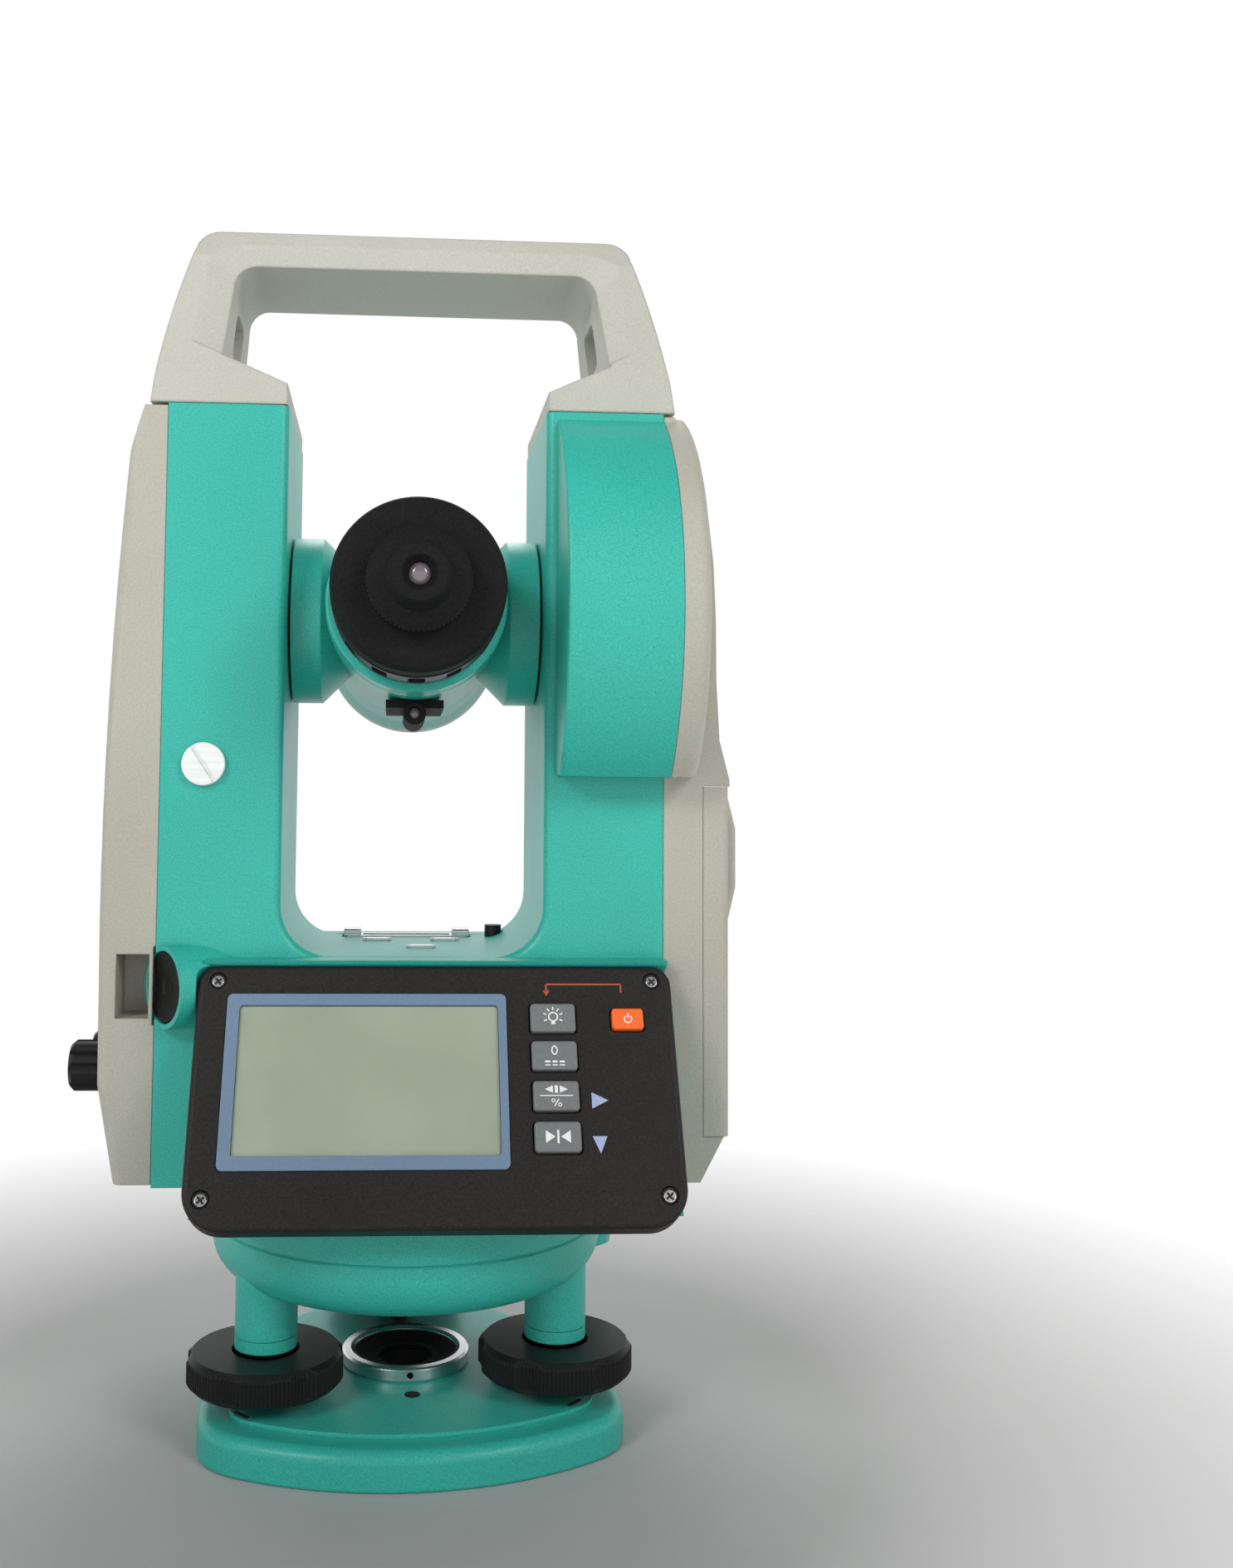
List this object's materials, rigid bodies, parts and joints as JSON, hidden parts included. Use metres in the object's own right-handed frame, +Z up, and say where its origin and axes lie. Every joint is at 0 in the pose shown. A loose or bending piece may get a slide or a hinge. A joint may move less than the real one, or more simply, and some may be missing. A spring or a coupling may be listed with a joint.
{
  "type": "surveying theodolite",
  "caption": "Surveying instrument on a levelling tribrach: twin-standard alidade with carrying handle, transiting telescope and tilted display.",
  "frame": {"origin": "on the vertical axis in the resting face of the tripod base plate, at the mouth of the tripod thread", "axes": "+Z up along the vertical axis, +Y from the eyepiece towards the objective, +X to the right of an observer facing the display"},
  "size_m": [0.1925, 0.1612, 0.3376],
  "materials": {
    "green_paint": "speckled satin",
    "grey_plastic": "fine textured",
    "handle_plastic": "fine textured",
    "black_plastic": "fine textured",
    "black_metal": "satin",
    "silver": "turned",
    "steel": "brushed",
    "brass": "turned",
    "bezel_blue": "satin",
    "lcd": "reflective lcd",
    "clear_glass": "clear",
    "lens": "coated",
    "vial_liquid": "tinted",
    "board_green": "solder mask",
    "key_grey": "rubber",
    "key_orange": "rubber",
    "cell_wrap": "plain wrap"
  },
  "bodies": {
    "base": {"base_plate": "green_paint", "spring_plate": "green_paint", "spring_plate_screws": "steel", "tripod_insert": "brass", "centring_ring": "silver", "ring_liner": "black_plastic"},
    "foot_left": {"foot_screw_left": "black_plastic"},
    "foot_right": {"foot_screw_right": "black_plastic"},
    "foot_rear": {"foot_screw_rear": "black_plastic"},
    "head": {"tribrach_head": "green_paint", "post_collars": "green_paint", "axis_sleeve": "brass", "horizontal_circle": "clear_glass", "circular_vial_cup": "black_metal", "circular_vial_glass": "vial_liquid"},
    "alidade": {"alidade_frame": "green_paint", "vertical_spindle": "steel", "left_cover": "grey_plastic", "right_cover": "grey_plastic", "handle": "handle_plastic", "handle_screws": "steel", "display_panel": "black_plastic", "rear_cover": "black_plastic", "panel_screws": "black_metal", "lcd_bezel": "bezel_blue", "lcd_glass": "lcd", "main_board": "board_green", "tangent_spring_cap": "silver", "plummet_prism": "clear_glass", "plate_vial_housing": "silver", "plate_vial_glass": "vial_liquid", "vial_adjusting_screw": "black_metal", "deck_plugs": "silver", "encoder_heads": "silver", "trunnion_bearings": "steel", "clamp_arm": "silver"},
    "telescope": {"telescope_body": "green_paint", "objective_cell": "black_metal", "objective_lens": "lens", "reticle_cell": "black_metal", "eyepiece_flange": "black_plastic", "collimator_sights": "black_metal", "trunnion_shafts": "steel", "vertical_circle": "clear_glass"},
    "focus_ring": {"focusing_ring": "black_plastic"},
    "focus_carrier": {"focusing_lens": "black_metal"},
    "eyepiece_tube": {"eyepiece": "black_plastic"},
    "horizontal_tangent": {"horizontal_tangent_knob": "black_plastic"},
    "horizontal_clamp": {"horizontal_clamp_knob": "black_plastic"},
    "vertical_tangent": {"vertical_tangent_knob": "black_plastic"},
    "vertical_clamp": {"vertical_clamp_knob": "black_plastic"},
    "plummet_focus": {"plummet_eyepiece": "black_plastic"},
    "lamp_button": {"key_lamp": "key_grey"},
    "zero_button": {"key_zero": "key_grey"},
    "unit_button": {"key_unit": "key_grey"},
    "hold_button": {"key_hold": "key_grey"},
    "power_button": {"key_power": "key_orange"},
    "battery": {"battery_case": "grey_plastic", "battery_cells": "cell_wrap"},
    "latch": {"battery_latch": "grey_plastic"}
  },
  "joints": [
    {"name": "head_lift", "type": "slide", "parent": "base", "child": "head", "axis": [0, 0, 1], "range_m": [-0.002, 0.002]},
    {"name": "foot_left_turn", "type": "hinge", "parent": "base", "child": "foot_left", "pos_m": [-0.03844, -0.02563, 0.02], "axis": [0, 0, 1], "range_deg": [-962, 962]},
    {"name": "foot_right_turn", "type": "hinge", "parent": "base", "child": "foot_right", "pos_m": [0.04142, -0.02047, 0.02], "axis": [0, 0, 1], "range_deg": [-962, 962]},
    {"name": "foot_rear_turn", "type": "hinge", "parent": "base", "child": "foot_rear", "pos_m": [-0.00298, 0.0461, 0.02], "axis": [0, 0, 1], "range_deg": [-962, 962]},
    {"name": "alidade_turn", "type": "hinge", "parent": "head", "child": "alidade", "pos_m": [0, 0, 0.07], "axis": [0, 0, 1], "continuous": true},
    {"name": "telescope_transit", "type": "hinge", "parent": "alidade", "child": "telescope", "pos_m": [0, 0, 0.2264], "axis": [1, 0, 0], "continuous": true},
    {"name": "focus_turn", "type": "hinge", "parent": "telescope", "child": "focus_ring", "pos_m": [0, 0, 0.2264], "axis": [0, 0.9995, -0.0326], "range_deg": [-273, 273]},
    {"name": "focus_travel", "type": "slide", "parent": "telescope", "child": "focus_carrier", "axis": [0, 0.9995, -0.0326], "range_m": [-0.00707, 0.00707]},
    {"name": "eyepiece_turn", "type": "hinge", "parent": "telescope", "child": "eyepiece_tube", "pos_m": [0, 0, 0.2264], "axis": [0, 0.9995, -0.0326], "range_deg": [-150, 150]},
    {"name": "horizontal_tangent_turn", "type": "hinge", "parent": "alidade", "child": "horizontal_tangent", "pos_m": [-0.085, 0, 0.0956], "axis": [-1, 0, 0], "range_deg": [-1800, 1800]},
    {"name": "horizontal_clamp_turn", "type": "hinge", "parent": "alidade", "child": "horizontal_clamp", "pos_m": [-0.085, 0.019, 0.0956], "axis": [-1, 0, 0], "range_deg": [0, 90]},
    {"name": "vertical_tangent_turn", "type": "hinge", "parent": "alidade", "child": "vertical_tangent", "pos_m": [-0.0577, 0.045, 0.1831], "axis": [0, 1, 0], "range_deg": [-1800, 1800]},
    {"name": "vertical_clamp_turn", "type": "hinge", "parent": "alidade", "child": "vertical_clamp", "pos_m": [-0.0577, 0.035, 0.1831], "axis": [0, 1, 0], "range_deg": [0, 90]},
    {"name": "plummet_focus_turn", "type": "hinge", "parent": "alidade", "child": "plummet_focus", "pos_m": [-0.0669, -0.036, 0.1228], "axis": [-0.829, -0.5592, 0], "range_deg": [-120, 120]},
    {"name": "lamp_press", "type": "slide", "parent": "alidade", "child": "lamp_button", "axis": [0, 0.8858, -0.4641], "range_m": [0, 0.0008], "stiffness_N_per_m": 900, "springref_m": -0.0012},
    {"name": "zero_press", "type": "slide", "parent": "alidade", "child": "zero_button", "axis": [0, 0.8858, -0.4641], "range_m": [0, 0.0008], "stiffness_N_per_m": 900, "springref_m": -0.0012},
    {"name": "unit_press", "type": "slide", "parent": "alidade", "child": "unit_button", "axis": [0, 0.8858, -0.4641], "range_m": [0, 0.0008], "stiffness_N_per_m": 900, "springref_m": -0.0012},
    {"name": "hold_press", "type": "slide", "parent": "alidade", "child": "hold_button", "axis": [0, 0.8858, -0.4641], "range_m": [0, 0.0008], "stiffness_N_per_m": 900, "springref_m": -0.0012},
    {"name": "power_press", "type": "slide", "parent": "alidade", "child": "power_button", "axis": [0, 0.8858, -0.4641], "range_m": [0, 0.0008], "stiffness_N_per_m": 900, "springref_m": -0.0012},
    {"name": "battery_pull", "type": "slide", "parent": "alidade", "child": "battery", "axis": [1, 0, 0], "range_m": [0, 0.03]},
    {"name": "latch_slide", "type": "slide", "parent": "battery", "child": "latch", "axis": [0, 0, -1], "range_m": [0, 0.003], "stiffness_N_per_m": 900, "springref_m": -0.003}
  ],
  "couplings": [
    {"joint": "foot_left_turn", "follows": "head_lift", "rad_per_m": -8377.6},
    {"joint": "foot_right_turn", "follows": "head_lift", "rad_per_m": -8377.6},
    {"joint": "foot_rear_turn", "follows": "head_lift", "rad_per_m": -8377.6},
    {"joint": "focus_turn", "follows": "focus_travel", "rad_per_m": 666.67}
  ]
}
